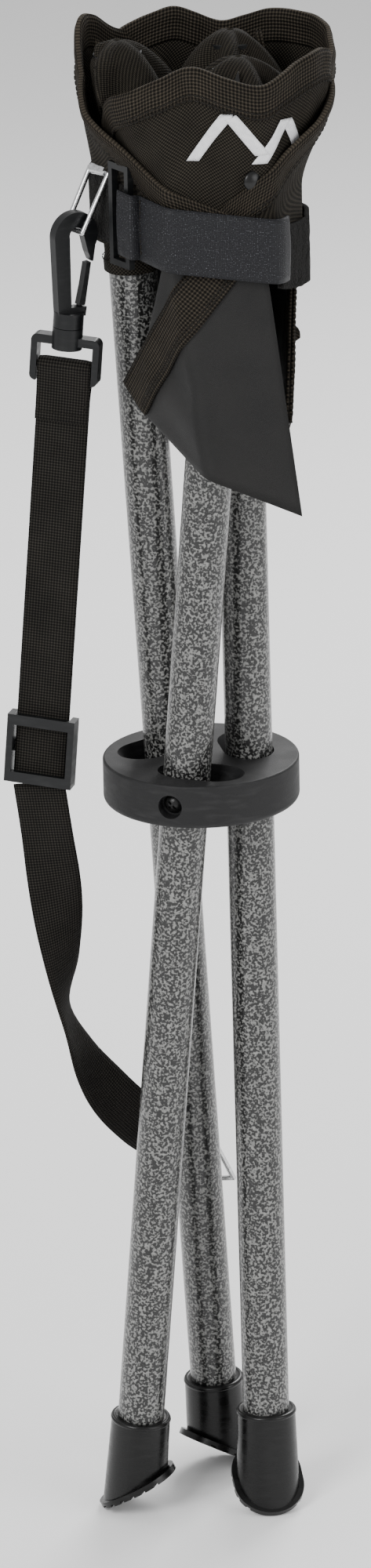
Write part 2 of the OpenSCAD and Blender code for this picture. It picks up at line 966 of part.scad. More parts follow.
seat_tip(2, outer_off, true);  // tip_hem_c_outer
seat_tip(2, inner_off, true);  // tip_hem_c_inner
closure_ring();
closure_hook_tape();
closure_loop_tape();
bail_clip(upper_clip_s, upper_clip_turn, upper_clip_r);  // bail_clip_upper
bail_rivet(upper_clip_s, upper_clip_turn, upper_clip_r);  // bail_rivet_upper
wire_bail(upper_clip_s, upper_clip_turn, upper_clip_r,  // wire_bail_upper
        upper_bail_half, upper_bail_drop, upper_bail_tilt);
bail_clip(lower_clip_s, lower_clip_turn, lower_clip_r);  // bail_clip_lower
bail_rivet(lower_clip_s, lower_clip_turn, lower_clip_r);  // bail_rivet_lower
wire_bail(lower_clip_s, lower_clip_turn, lower_clip_r,  // wire_bail_lower
        lower_bail_half, lower_bail_drop, lower_bail_tilt);
snap_hook_body();
snap_hook_gate();
swivel_loop();
strap_upper();
strap_slider();
strap_lower();
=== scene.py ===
"""Looks of the folding three-leg field stool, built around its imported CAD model.

Lengths are metres in the CAD frame: +Z up, -Y the front, the origin on the ground at the hub axis.
"""
import json
import math

import bmesh
import bpy
import numpy as np
from mathutils import Matrix, Vector, noise


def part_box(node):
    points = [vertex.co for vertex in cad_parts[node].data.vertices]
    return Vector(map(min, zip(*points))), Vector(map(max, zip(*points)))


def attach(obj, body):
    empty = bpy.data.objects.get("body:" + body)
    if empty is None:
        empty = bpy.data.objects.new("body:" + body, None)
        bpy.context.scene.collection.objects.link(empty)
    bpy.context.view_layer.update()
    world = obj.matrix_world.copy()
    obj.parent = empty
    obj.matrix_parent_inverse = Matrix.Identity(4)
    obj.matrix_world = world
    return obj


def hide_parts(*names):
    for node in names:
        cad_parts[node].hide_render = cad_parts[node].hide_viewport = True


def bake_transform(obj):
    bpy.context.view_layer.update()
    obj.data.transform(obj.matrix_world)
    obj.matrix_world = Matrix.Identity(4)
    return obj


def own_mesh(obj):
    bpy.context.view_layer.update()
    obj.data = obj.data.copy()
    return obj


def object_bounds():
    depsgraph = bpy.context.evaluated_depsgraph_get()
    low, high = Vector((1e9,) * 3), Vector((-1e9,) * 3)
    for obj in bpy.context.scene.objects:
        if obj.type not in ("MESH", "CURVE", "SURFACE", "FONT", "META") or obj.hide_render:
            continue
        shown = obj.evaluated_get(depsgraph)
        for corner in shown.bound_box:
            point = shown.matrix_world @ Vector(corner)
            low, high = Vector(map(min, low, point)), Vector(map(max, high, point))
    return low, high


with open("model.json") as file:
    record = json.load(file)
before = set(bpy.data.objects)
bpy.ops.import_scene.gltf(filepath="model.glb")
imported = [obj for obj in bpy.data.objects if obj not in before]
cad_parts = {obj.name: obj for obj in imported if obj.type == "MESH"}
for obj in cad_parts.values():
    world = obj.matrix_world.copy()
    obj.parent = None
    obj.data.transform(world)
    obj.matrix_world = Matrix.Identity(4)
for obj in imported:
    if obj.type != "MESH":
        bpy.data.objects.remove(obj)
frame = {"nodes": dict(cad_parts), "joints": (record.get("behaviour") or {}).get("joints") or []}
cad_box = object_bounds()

MM = 0.001
JOINTS = {joint["name"]: joint for joint in frame["joints"]}
LEGS = "abc"
LAYERS = ("outer", "inner")

# The angle each leg leans from upright when the stool is open, degrees
OPEN_LEAN = 35
TUBE_R = 11.1 * MM
POCKET_R = 12.7 * MM
POCKET_LENGTH = 104 * MM
STRAP_W = 25 * MM
STRAP_T = 1.6 * MM
STRAP_TURN = math.radians(-15)
HEM_W = 20 * MM
FABRIC_T = 1.0 * MM
# Half the angle of the seat's corner
HALF_CORNER = math.pi / 6
# Turn of a webbing's threads from its length, radians
TWILL = 0.785

# Camera: distance is assumed, the rest was fitted with it
CAMERA_DISTANCE = 3.4
CAMERA_ELEVATION = math.radians(19.54)
CAMERA_ROLL = -0.0206
CAMERA_LENS = 111.09
# Offset of the point it looks at from the hub axis at the pivots' height
CAMERA_AIM = (-0.0075, -0.0002, -0.004)

# Area lights: name, place, size, power
LIGHTS = [
    ("key", (-1.3, -1.9, 1.9), 1.0, 52),
    ("fill", (1.8, -1.2, 1.1), 1.4, 20),
    ("rim", (0.6, 1.7, 1.7), 1.0, 40),
]
FLOOR_HALF = 8.0
FLOOR_GAP = 0.5 * MM


# ---- Numbers and directions ----

def unit(v):
    v = np.asarray(v, float)
    return v / np.linalg.norm(v)


def joint_pos(name):
    return np.array(JOINTS[name]["pos_m"], float)


def joint_axis(name):
    return unit(JOINTS[name]["axis"])


def smooth_noise(x, y, seed):
    """Smooth repeatable value from -1 to 1."""
    return noise.noise(Vector((x, y, seed)))


def smooth_step(t):
    t = min(1.0, max(0.0, t))
    return t * t * (3 - 2 * t)


def node_points(*names):
    return np.array([v.co for name in names for v in frame["nodes"][name].data.vertices], float)


def around(a, side, other):
    """Direction at an angle in the plane of two unit vectors."""
    return math.cos(a) * side + math.sin(a) * other


def angles_round(count):
    """Equally spaced angles once round, without the last, which would repeat the first."""
    return np.linspace(0, math.tau, count + 1)[:-1]


def leg_direction(k):
    """(pivot point, unit vector up the leg) at rest."""
    pivot = joint_pos(f"leg_{k}_pivot")
    outward = unit([pivot[0], pivot[1], 0])
    across = np.cross([0, 0, 1], outward)
    lean = math.radians(OPEN_LEAN - JOINTS[f"leg_{k}_pivot"]["range_deg"][1])
    return pivot, across * math.sin(lean) + np.array([0, 0, math.cos(lean)])


def leg_point(k, height):
    """Point on leg k's axis at a height above the ground."""
    pivot, up = leg_direction(k)
    return pivot + up * (height - pivot[2]) / up[2]


# ---- Camera, floor and light ----

def add_camera():
    target = Vector((CAMERA_AIM[0], CAMERA_AIM[1], joint_pos("leg_a_pivot")[2] + CAMERA_AIM[2]))
    data = bpy.data.cameras.new("camera")
    data.sensor_fit = "VERTICAL"
    data.sensor_height = 24
    data.lens = CAMERA_LENS
    data.clip_end = 50
    camera = bpy.data.objects.new("camera", data)
    turn = Matrix.Rotation(math.pi / 2 - CAMERA_ELEVATION, 4, "X") @ Matrix.Rotation(CAMERA_ROLL, 4, "Z")
    back = Vector((0, -math.cos(CAMERA_ELEVATION), math.sin(CAMERA_ELEVATION)))
    camera.matrix_world = Matrix.Translation(target + back * CAMERA_DISTANCE) @ turn
    bpy.context.scene.collection.objects.link(camera)
    bpy.context.scene.camera = camera


def add_area_light(name, place, size, power):
    data = bpy.data.lights.new(name, "AREA")
    data.shape = "SQUARE"
    data.size = size
    data.energy = power
    light = bpy.data.objects.new(name, data)
    middle = Vector((0, 0, joint_pos("leg_a_pivot")[2]))
    light.location = place
    light.rotation_euler = (middle - Vector(place)).to_track_quat("-Z", "Y").to_euler()
    bpy.context.scene.collection.objects.link(light)


def add_studio():
    world = bpy.data.worlds.new("studio")
    world.use_nodes = True
    background = world.node_tree.nodes["Background"]
    background.inputs["Color"].default_value = (1, 1, 1, 1)
    background.inputs["Strength"].default_value = 0.75
    bpy.context.scene.world = world
    for name, place, size, power in LIGHTS:
        add_area_light(name, place, size, power)
    corners = [(x * FLOOR_HALF, y * FLOOR_HALF, 0) for x, y in ((-1, -1), (1, -1), (1, 1), (-1, 1))]
    mesh = bpy.data.meshes.new("floor")
    mesh.from_pydata(corners, [], [(0, 1, 2, 3)])
    floor = bpy.data.objects.new("floor", mesh)
    floor.location.z = cad_box[0].z - FLOOR_GAP
    bpy.context.scene.collection.objects.link(floor)
    paper = material_base("floor_paper", (0.95, 0.95, 0.95), 0.9)[0]
    mesh.materials.append(paper)


# ---- Materials ----

def material_base(name, colour, roughness, metallic=0.0, specular=0.5):
    """(material, its node tree, its shader) with constant values on the shader."""
    material = bpy.data.materials.new(name)
    material.use_nodes = True
    tree = material.node_tree
    shader = tree.nodes["Principled BSDF"]
    shader.inputs["Base Color"].default_value = (*colour, 1)
    shader.inputs["Roughness"].default_value = roughness
    shader.inputs["Metallic"].default_value = metallic
    shader.inputs["Specular IOR Level"].default_value = specular
    return material, tree, shader


def add_node(tree, kind, inputs=None, **settings):
    """A new node with its settings, its inputs linked to sockets or set to values."""
    node = tree.nodes.new(kind)
    for key, value in settings.items():
        setattr(node, key, value)
    for key, value in (inputs or {}).items():
        if isinstance(value, bpy.types.NodeSocket):
            tree.links.new(value, node.inputs[key])
        else:
            node.inputs[key].default_value = value
    return node


def math_node(tree, operation, first, second=0.0, third=0.0):
    return add_node(tree, "ShaderNodeMath", {0: first, 1: second, 2: third}, operation=operation).outputs[0]


def ramp(tree, factor, stops):
    """Colour ramp through (position, colour) stops."""
    node = add_node(tree, "ShaderNodeValToRGB", {"Fac": factor})
    elements = node.color_ramp.elements
    while len(elements) < len(stops):
        elements.new(0.5)
    for element, (position, colour) in zip(elements, stops):
        element.position = position
        element.color = (*colour, 1)
    return node.outputs["Color"]


def bump(tree, shader, height, distance, strength=1.0):
    node = add_node(tree, "ShaderNodeBump", {"Height": height, "Distance": distance, "Strength": strength})
    tree.links.new(node.outputs["Normal"], shader.inputs["Normal"])


def object_coordinates(tree):
    return add_node(tree, "ShaderNodeTexCoord").outputs["Object"]


def noise_value(tree, vector, scale, detail=2.0):
    node = add_node(tree, "ShaderNodeTexNoise", {"Vector": vector, "Scale": scale, "Detail": detail})
    return node.outputs["Fac"]


def woven_height(tree, pitch, slant=0.0):
    """Crossing threads on the piece's own UV, which is in metres: 0 between threads, 1 on top."""
    uv = add_node(tree, "ShaderNodeUVMap", uv_map="cloth").outputs["UV"]
    turned = add_node(tree, "ShaderNodeVectorRotate", {"Vector": uv, "Angle": slant},
                      rotation_type="Z_AXIS").outputs[0]
    parts = add_node(tree, "ShaderNodeSeparateXYZ", {"Vector": turned})
    wave = [math_node(tree, "SINE", math_node(tree, "MULTIPLY", parts.outputs[axis], math.tau / pitch))
            for axis in ("X", "Y")]
    crossed = math_node(tree, "MULTIPLY", wave[0], wave[1])
    return math_node(tree, "MULTIPLY_ADD", crossed, 0.5, 0.5), uv


def woven(name, dark, light, pitch, relief, roughness=0.85, slant=0.0, sheen=0.0):
    """Woven cloth: dark threads whose raised tops are painted lighter as a highlight, the tone uneven over
    the cloth, with matching relief.
    """
    material, tree, shader = material_base(name, dark, roughness, specular=0.12)
    height, uv = woven_height(tree, pitch, slant)
    blotch = noise_value(tree, uv, 55)
    fibre = noise_value(tree, uv, 2600)
    mixed = math_node(tree, "MULTIPLY_ADD", blotch, 0.35, height)
    uneven = math_node(tree, "MULTIPLY_ADD", fibre, 0.3, mixed)
    # light is the painted highlight colour on the raised thread tops; the blotch and fibre noise vary the
    # tone at random
    middle = tuple(0.6 * d + 0.4 * l for d, l in zip(dark, light))
    span = math_node(tree, "MULTIPLY", uneven, 0.62)
    tree.links.new(ramp(tree, span, [(0.3, dark), (0.62, middle), (0.9, light)]), shader.inputs["Base Color"])
    shader.inputs["Sheen Weight"].default_value = sheen
    shader.inputs["Sheen Roughness"].default_value = 0.5
    bump(tree, shader, uneven, relief)
    return material


def hook_tape_material():
    """Fine rows of stiff hooks that catch the light in specks."""
    material, tree, shader = material_base("hook_tape", (0.02, 0.02, 0.022), 0.5, specular=0.2)
    height, uv = woven_height(tree, 1.1 * MM, math.radians(45))
    speck = noise_value(tree, uv, 1500, 1.0)
    glint = math_node(tree, "MULTIPLY", math_node(tree, "POWER", speck, 3.0), height)
    tones = [(0.0, (0.006, 0.006, 0.0075)), (0.16, (0.016, 0.0165, 0.019)), (0.45, (0.2, 0.21, 0.23))]
    tree.links.new(ramp(tree, glint, tones), shader.inputs["Base Color"])
    bump(tree, shader, glint, 0.8 * MM)
    return material


def loop_tape_material():
    """Brushed fuzzy pile."""
    material, tree, shader = material_base("loop_tape", (0.01, 0.01, 0.01), 1.0, specular=0.05)
    place = object_coordinates(tree)
    pile = noise_value(tree, place, 900, 5.0)
    tones = [(0.3, (0.0015, 0.0015, 0.0015)), (0.8, (0.016, 0.015, 0.014))]
    tree.links.new(ramp(tree, pile, tones), shader.inputs["Base Color"])
    shader.inputs["Sheen Weight"].default_value = 0.04
    bump(tree, shader, pile, 1.5 * MM)
    return material


def coated_material():
    """Smooth coated side of the seat cloth, with soft creases and a faint thread grain."""
    material, tree, shader = material_base("coated_cloth", (0.014, 0.014, 0.014), 0.5, specular=0.22)
    threads, uv = woven_height(tree, 0.7 * MM)
    cloud = noise_value(tree, uv, 28, 4.0)
    tones = [(0.3, (0.006, 0.006, 0.006)), (0.7, (0.013, 0.0125, 0.012))]
    tree.links.new(ramp(tree, cloud, tones), shader.inputs["Base Color"])
    gloss = math_node(tree, "MULTIPLY_ADD", cloud, 0.25, 0.38)
    tree.links.new(gloss, shader.inputs["Roughness"])
    relief = math_node(tree, "MULTIPLY_ADD", cloud, 6.0, threads)
    bump(tree, shader, relief, 0.12 * MM)
    return material


def hammertone_material():
    """Silver powder coat broken up by dense black speckle."""
    material, tree, shader = material_base("hammertone", (0.3, 0.3, 0.29), 0.36, 0.25)
    place = object_coordinates(tree)
    blots = noise_value(tree, place, 760, 2.5)
    cells = add_node(tree, "ShaderNodeTexVoronoi", {"Vector": place, "Scale": 900.0}).outputs["Distance"]
    mixed = math_node(tree, "MULTIPLY_ADD", cells, 0.32, math_node(tree, "MULTIPLY", blots, 0.8))
    tones = [(0.52, (0.003, 0.003, 0.003)), (0.565, (0.02, 0.02, 0.02)), (0.62, (0.15, 0.15, 0.145)),
             (0.8, (0.24, 0.24, 0.23))]
    tree.links.new(ramp(tree, mixed, tones), shader.inputs["Base Color"])
    shader.inputs["Coat Weight"].default_value = 0.5
    shader.inputs["Coat Roughness"].default_value = 0.18
    bump(tree, shader, mixed, 0.25 * MM)
    return material


def scuffed_plastic(name, colour, roughness, grain, scuff, specular=0.3):
    """Moulded plastic or rubber: fine grain, and long faint scratches that change its gloss."""
    material, tree, shader = material_base(name, colour, roughness, specular=specular)
    place = object_coordinates(tree)
    stretched = add_node(tree, "ShaderNodeMapping", {"Vector": place, "Scale": (90, 90, 420)}).outputs[0]
    scratches = noise_value(tree, stretched, 1.0, 6.0)
    specks = noise_value(tree, place, 1800, 2.0)
    worn = tuple(min(1.0, c + scuff) for c in colour)
    tree.links.new(ramp(tree, scratches, [(0.5, colour), (0.8, worn)]), shader.inputs["Base Color"])
    gloss = math_node(tree, "MULTIPLY_ADD", scratches, 0.3, roughness - 0.15)
    tree.links.new(gloss, shader.inputs["Roughness"])
    bump(tree, shader, specks, grain)
    return material


def bright_steel_material():
    """Zinc-plated steel with fine drawing lines."""
    material, tree, shader = material_base("bright_steel", (0.72, 0.73, 0.74), 0.22, 1.0)
    place = object_coordinates(tree)
    streaks = noise_value(tree, place, 700, 3.0)
    tones = [(0.3, (0.5, 0.5, 0.5)), (0.7, (0.8, 0.81, 0.82))]
    tree.links.new(ramp(tree, streaks, tones), shader.inputs["Base Color"])
    gloss = math_node(tree, "MULTIPLY_ADD", streaks, 0.3, 0.1)
    tree.links.new(gloss, shader.inputs["Roughness"])
    bump(tree, shader, streaks, 0.05 * MM)
    return material


def print_material():
    """White ink that lets the cloth's threads show in relief."""
    material, tree, shader = material_base("white_print", (0.75, 0.75, 0.76), 0.6)
    threads, uv = woven_height(tree, 1.2 * MM)
    patch = noise_value(tree, uv, 300)
    tones = [(0.35, (0.66, 0.66, 0.68)), (0.7, (0.8, 0.8, 0.81))]
    tree.links.new(ramp(tree, patch, tones), shader.inputs["Base Color"])
    bump(tree, shader, threads, 0.15 * MM)
    return material


def make_materials():
    brown_black = (0.0022, 0.0018, 0.0014)
    # Painted highlight colour on the polyester's raised thread tops
    thread_top_highlight = (0.058, 0.050, 0.038)
    # In each woven material the second colour is a painted highlight on the raised thread tops
    return {
        "polyester": woven("polyester", brown_black, thread_top_highlight, 1.7 * MM, 0.7 * MM),
        "hem_webbing": woven("hem_webbing", brown_black, (0.070, 0.058, 0.043), 2.3 * MM, 0.9 * MM,
                             slant=TWILL),
        "strap_webbing": woven("strap_webbing", (0.0018, 0.0016, 0.0015), (0.042, 0.038, 0.032), 1.9 * MM,
                               0.7 * MM, slant=TWILL),
        "thread": woven("thread", (0.005, 0.0045, 0.004), (0.04, 0.036, 0.03), 0.8 * MM, 0.2 * MM),
        "hook_tape": hook_tape_material(),
        "loop_tape": loop_tape_material(),
        "coated_fabric": coated_material(),
        "hammertone": hammertone_material(),
        "hub_plastic": scuffed_plastic("hub_plastic", (0.008, 0.008, 0.0085), 0.6, 0.1 * MM, 0.014),
        "black_plastic": scuffed_plastic("black_plastic", (0.005, 0.0055, 0.006), 0.36, 0.04 * MM, 0.008),
        "foot_rubber": scuffed_plastic("foot_rubber", (0.003, 0.003, 0.003), 0.28, 0.03 * MM, 0.005),
        "black_steel": scuffed_plastic("black_steel", (0.006, 0.006, 0.006), 0.3, 0.03 * MM, 0.015),
        "bright_steel": bright_steel_material(),
        "print": print_material(),
    }


# ---- Meshes ----

def mesh_object(name, points, faces, material, corner_uvs=None):
    mesh = bpy.data.meshes.new(name)
    mesh.from_pydata([tuple(p) for p in points], [], faces)
    layer = mesh.uv_layers.new(name="cloth")
    if corner_uvs is None:
        corner_uvs = [(points[i][0] + points[i][1], points[i][2]) for face in faces for i in face]
    layer.data.foreach_set("uv", np.array(corner_uvs, np.float32).ravel())
    mesh.polygons.foreach_set("use_smooth", [True] * len(faces))
    mesh.materials.append(MATERIALS[material])
    obj = bpy.data.objects.new(name, mesh)
    bpy.context.scene.collection.objects.link(obj)
    return obj


def grid_normals(grid):
    along = np.gradient(grid, axis=1)
    down = np.gradient(grid, axis=0)
    normals = np.cross(along, down)
    return normals / np.maximum(np.linalg.norm(normals, axis=2, keepdims=True), 1e-12)


def grid_uv(grid):
    """Arc lengths along the columns and down the rows, in metres."""
    across = np.linalg.norm(np.diff(grid, axis=1), axis=2)
    down = np.linalg.norm(np.diff(grid, axis=0), axis=2)
    u = np.concatenate([np.zeros((grid.shape[0], 1)), np.cumsum(across, axis=1)], axis=1)
    u = u - u.mean(axis=1, keepdims=True)
    v = np.concatenate([np.zeros((1, grid.shape[1])), np.cumsum(down, axis=0)], axis=0)
    return np.stack([u, v], axis=2)


def slab(name, grid, thickness, material, uv=None):
    """Closed thin sheet around a grid of points; thickness is a number or one value per point."""
    grid = np.asarray(grid, float)
    uv = grid_uv(grid) if uv is None else uv
    rows, columns = grid.shape[:2]
    half = np.broadcast_to(np.asarray(thickness, float) / 2, (rows, columns))[..., None]
    normals = grid_normals(grid)
    points = np.concatenate([(grid + side * normals * half).reshape(-1, 3) for side in (1, -1)])
    total = rows * columns

    def at(skin, i, j):
        return skin * total + i * columns + j

    faces = []
    for i in range(rows - 1):
        for j in range(columns - 1):
            faces.append([at(0, i, j), at(0, i, j + 1), at(0, i + 1, j + 1), at(0, i + 1, j)])
            faces.append([at(1, i + 1, j), at(1, i + 1, j + 1), at(1, i, j + 1), at(1, i, j)])
    for j in range(columns - 1):
        faces.append([at(0, 0, j + 1), at(0, 0, j), at(1, 0, j), at(1, 0, j + 1)])
        faces.append([at(0, rows - 1, j), at(0, rows - 1, j + 1), at(1, rows - 1, j + 1), at(1, rows - 1, j)])
    for i in range(rows - 1):
        faces.append([at(0, i, 0), at(0, i + 1, 0), at(1, i + 1, 0), at(1, i, 0)])
        faces.append([at(0, i + 1, columns - 1), at(0, i, columns - 1), at(1, i, columns - 1),
                      at(1, i + 1, columns - 1)])
    flat = np.concatenate([uv.reshape(-1, 2)] * 2)
    return mesh_object(name, points, faces, material, [flat[i] for face in faces for i in face])


def tube_shell(name, rings, material, cap_low=True, cap_high=True):
    """Closed skin over rings of points, each ring going once round."""
    rings = np.asarray(rings, float)
    rows, columns = rings.shape[:2]
    points = list(rings.reshape(-1, 3))
    around = np.linalg.norm(rings[:, 1] - rings[:, 0], axis=1).mean() * columns
    drop = np.concatenate([[0], np.cumsum(np.linalg.norm(np.diff(rings[:, 0], axis=0), axis=1))])
    faces, uvs = [], []
    for i in range(rows - 1):
        for j in range(columns):
            following = (j + 1) % columns
            faces.append([i * columns + j, i * columns + following, (i + 1) * columns + following,
                          (i + 1) * columns + j])
            for row, column in ((i, j), (i, j + 1), (i + 1, j + 1), (i + 1, j)):
                uvs.append((around * column / columns, drop[row]))
    for wanted, row, reverse in ((cap_low, 0, True), (cap_high, rows - 1, False)):
        if wanted:
            ring = [row * columns + j for j in range(columns)]
            faces.append(ring[::-1] if reverse else ring)
            uvs.extend((points[i][0], points[i][1]) for i in faces[-1])
    return mesh_object(name, points, faces, material, uvs)


def stitches(name, path, normals, pitch, length, radius, raise_by, material="thread"):
    """A row of sewn stitches along a path: short fat threads lying on the cloth."""
    path = np.asarray(path, float)
    steps = np.linalg.norm(np.diff(path, axis=0), axis=1)
    arc = np.concatenate([[0], np.cumsum(steps)])
    points, faces = [], []
    sides = 5
    profile = [(-0.5, 0.25), (-0.3, 0.9), (0.0, 1.0), (0.3, 0.9), (0.5, 0.25)]
    for s in np.arange(pitch / 2, arc[-1] - pitch / 2, pitch):
        centre = np.array([np.interp(s, arc, path[:, i]) for i in range(3)])
        ahead = np.array([np.interp(s + pitch / 4, arc, path[:, i]) for i in range(3)])
        along = unit(ahead - centre)
        up = unit([np.interp(s, arc, normals[:, i]) for i in range(3)])
        side = unit(np.cross(up, along))
        centre = centre + up * raise_by
        base = len(points)
        for offset, share in profile:
            for n in range(sides):
                a = math.tau * n / sides
                ring = math.cos(a) * side + 0.7 * math.sin(a) * up
                points.append(centre + along * offset * length + ring * radius * share)
        for i in range(len(profile) - 1):
            for n in range(sides):
                m = (n + 1) % sides
                faces.append([base + i * sides + n, base + i * sides + m, base + (i + 1) * sides + m,
                              base + (i + 1) * sides + n])
        faces.append([base + n for n in reversed(range(sides))])
        faces.append([base + (len(profile) - 1) * sides + n for n in range(sides)])
    return mesh_object(name, points, faces, material)


def smooth_path(points, steps):
    """Catmull-Rom curve through the points, as the CAD's strap route has it."""
    points = np.asarray(points, float)
    last = len(points) - 1
    found = []
    for i in range(last):
        a, b, c, d = points[max(i - 1, 0)], points[i], points[i + 1], points[min(i + 2, last)]
        for j in range(steps):
            f = j / steps
            found.append(b + 0.5 * f * (c - a + f * (2 * a - 5 * b + 4 * c - d + f * (3 * (b - c) + d - a))))
    return np.array(found + [points[last]])


def ribbon_grid(path, spread, width, columns=9):
    """Grid over a flat strap: rows along its path, columns across its width."""
    rows = []
    for i, point in enumerate(path):
        along = unit(path[min(i + 1, len(path) - 1)] - path[max(i - 1, 0)])
        side = unit(spread[i] - along * np.dot(spread[i], along))
        rows.append([point + side * width * (j / (columns - 1) - 0.5) for j in range(columns)])
    return np.array(rows)


def strap_thickness(columns, thickness):
    """Full thickness inside, thinner at the woven edges."""
    profile = np.full(columns, thickness)
    profile[[0, -1]] = thickness * 0.45
    return profile


def dress(obj, body, slot, *replaced):
    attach(obj, body)
    if replaced:
        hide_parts(*replaced)
    return obj


# ---- Shoulder strap ----

def carry_strap_frame():
    """(point on the strap's straight run, direction up it, direction across its width)."""
    up = joint_axis("snap_hook_swivel")
    level = unit(np.cross([0, 1, 0], up))
    across = math.cos(STRAP_TURN) * level + math.sin(STRAP_TURN) * np.cross(up, level)
    return joint_pos("snap_hook_swivel"), up, across


def add_upper_strap():
    """One run of webbing from its sewn tail, over the loop's bar, down to the slider's end."""
    anchor, up, across = carry_strap_frame()
    facing = np.cross(across, up)
    bar_r, slack = 1.5 * MM, 0.9 * MM
    eye_r = bar_r + slack + STRAP_T
    bar_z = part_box("strap_upper")[1].z - eye_r - STRAP_W / 2 * abs(across[2])
    low_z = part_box("strap_upper")[0].z
    bar = anchor + up * (bar_z - anchor[2]) / up[2]
    low = anchor + up * (low_z + 2 * MM - anchor[2]) / up[2]
    turn_r = bar_r + slack + STRAP_T / 2
    tail = 26 * MM
    path = [bar - up * tail * f + facing * (STRAP_T * 1.05 + (turn_r - STRAP_T) * (1 - f) ** 3)
            for f in np.linspace(1, 0, 8)]
    path += [bar + turn_r * around(a, facing, up) for a in np.linspace(0.2, math.pi - 0.2, 9)]
    run = np.linalg.norm(bar - low)
    path += [bar - up * run * f - facing * turn_r * (1 - smooth_step(f * 12))
             for f in np.linspace(0.01, 1, 60)]
    path = np.array(path)
    grid = ribbon_grid(path, [across] * len(path), STRAP_W)
    strap = slab("strap_upper_webbing", grid, strap_thickness(grid.shape[1], STRAP_T), "strap_webbing")
    dress(strap, "carry_strap", "strap_webbing", "strap_upper")
    add_strap_seams(bar, up, across, facing)
    return low


def add_strap_seams(bar, up, across, facing):
    """Box of stitches that holds the strap's tail down, below the bar."""
    first, last, proud, count = 9 * MM, 22 * MM, 2.2 * MM, 12

    def sewn_at(down, share):
        return bar - up * down + across * STRAP_W * share + facing * proud

    lines = [(f"strap_upper_seam_{n}", [sewn_at(down, f) for f in np.linspace(-0.46, 0.46, count)])
             for n, down in enumerate((first, last))]
    lines += [(f"strap_upper_side_seam_{n}", [sewn_at(first + (last - first) * t, f)
                                              for t in np.linspace(0, 1, count)])
              for n, f in enumerate((-0.44, 0.44))]
    for name, line in lines:
        seam = stitches(name, line, np.array([facing] * count), 2.4 * MM, 2.0 * MM, 0.35 * MM, 0.2 * MM)
        dress(seam, "carry_strap", "strap_webbing")


# Route of the lower run below its first point, and the way its width points along it
STRAP_ROUTE = [
    (-72, -13, 342), (-69, -10, 312), (-67, -6, 280), (-66, -2, 252), (-58, 6, 226),
    (-46, 15, 204), (-33, 30, 184), (-19, 46, 165), (-8, 49, 147),
]
STRAP_WIDTHS = [
    (0.97, -0.26, 0), (0.95, -0.2, 0), (0.9, 0.3, 0), (0.6, 0.8, 0), (0.1, 1, 0.1),
    (0.3, 0.85, 0.4), (0.5, 0.5, 0.7), (0.65, 0.3, 0.7), (0.9, 0.1, 0.45), (1, 0, 0.1),
]


def add_lower_strap(top):
    """Loose run of webbing from the slider round to the lower bail on the back leg."""
    steps = 6
    path = smooth_path([top] + [np.array(p) * MM for p in STRAP_ROUTE], steps)
    spread = smooth_path(STRAP_WIDTHS, steps)
    grid = ribbon_grid(path, spread, STRAP_W)
    strap = slab("strap_lower_webbing", grid, strap_thickness(grid.shape[1], STRAP_T), "strap_webbing")
    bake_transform(strap)
    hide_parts("strap_lower")


# ---- Seat panels, each folded over at its tip ----

# Ends of the webbing's middle line where it lies across the front flap: mm down the fold, mm from it
HEM_OVER = np.array([[70, 3], [155, 88]])


